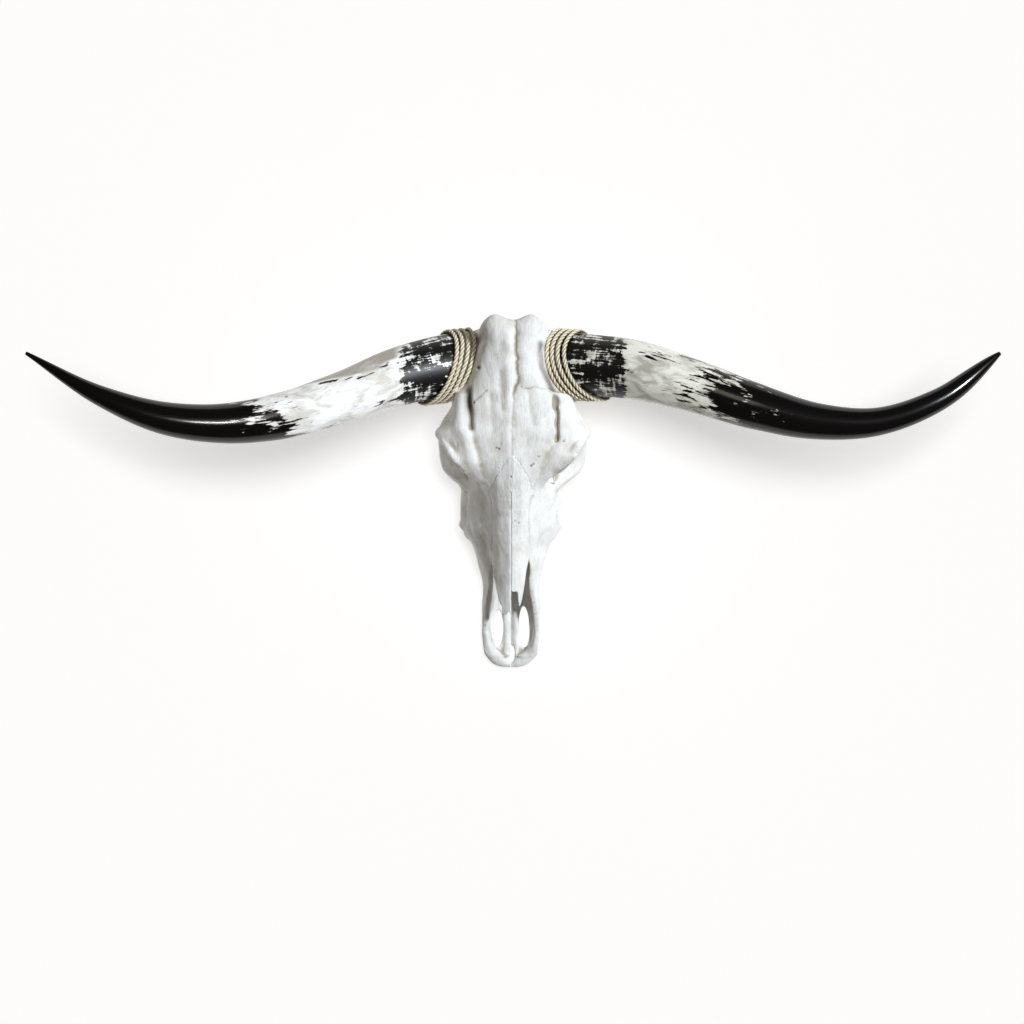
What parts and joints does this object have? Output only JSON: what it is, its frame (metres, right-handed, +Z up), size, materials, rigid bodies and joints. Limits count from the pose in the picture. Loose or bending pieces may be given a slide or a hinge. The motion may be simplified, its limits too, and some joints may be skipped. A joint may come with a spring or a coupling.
{
  "type": "longhorn steer skull",
  "caption": "Life-size longhorn steer skull without lower jaw, lying on its cheek teeth, with long polished black and white horns bound by rope.",
  "frame": {"origin": "on the floor, under the middle of the box round the whole skull and horns", "axes": "+X from the left horn tip in the top view to the right one, +Y from the muzzle to the poll, +Z up from the tooth rows to the brow"},
  "size_m": [1.1942, 0.4456, 0.2335],
  "materials": {
    "bone": "matt, dry bleached bone with fine grain",
    "horn": "polished horn, black with white clouding",
    "rope": "laid natural-fibre rope, dry and hairy"
  },
  "bodies": {
    "root": {"cranium": "bone", "maxilla_left": "bone", "maxilla_right": "bone", "premaxilla_left": "bone", "premaxilla_right": "bone", "nasal_left": "bone", "nasal_right": "bone", "horn_left": "horn", "horn_right": "horn", "rope_left": "rope", "rope_right": "rope"}
  },
  "joints": []
}
